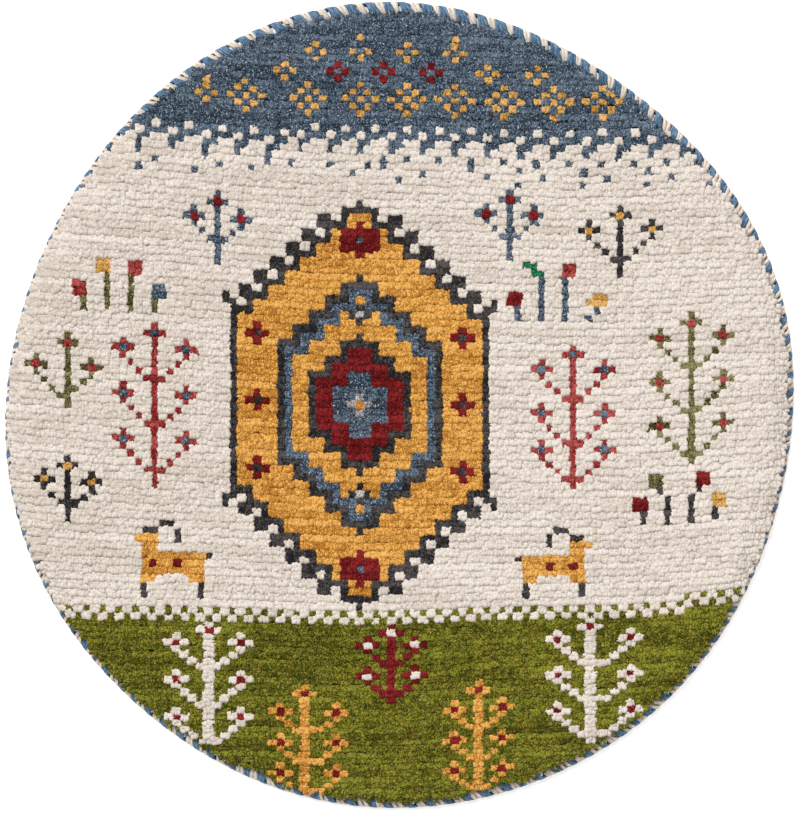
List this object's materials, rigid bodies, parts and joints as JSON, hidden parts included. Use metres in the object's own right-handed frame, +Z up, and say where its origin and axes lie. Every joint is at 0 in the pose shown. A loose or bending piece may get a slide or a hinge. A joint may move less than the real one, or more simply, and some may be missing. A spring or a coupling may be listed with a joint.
{
  "type": "round gabbeh rug",
  "caption": "Small round hand-knotted wool pile rug with coloured bands, plant motifs, a stepped medallion and an edge overcast in two yarns.",
  "frame": {"origin": "on the floor, under the middle of the rug's box", "axes": "+Z up out of the pile, +Y towards the end with the blue band, +X to the right of the pattern"},
  "size_m": [0.5963, 0.6097, 0.0143],
  "materials": {
    "cream_pile": "matt cut wool pile in rows of knots, undyed cream",
    "blue_pile": "matt cut wool pile, heathered slate blue",
    "green_pile": "matt cut wool pile, heathered moss green",
    "gold_pile": "matt cut wool pile, golden yellow",
    "red_pile": "matt cut wool pile, madder red",
    "dark_pile": "matt cut wool pile, dark brown-black",
    "grey_pile": "matt cut wool pile, undyed grey",
    "ground_weave": "tight wool and cotton ground weave with the backs of the knots",
    "binding_blue": "thick plied wool yarn, dusty blue",
    "binding_cream": "thick plied wool yarn, cream"
  },
  "bodies": {
    "root": {"knotted_field": "cream_pile", "edge_binding": "binding_blue"}
  },
  "joints": []
}
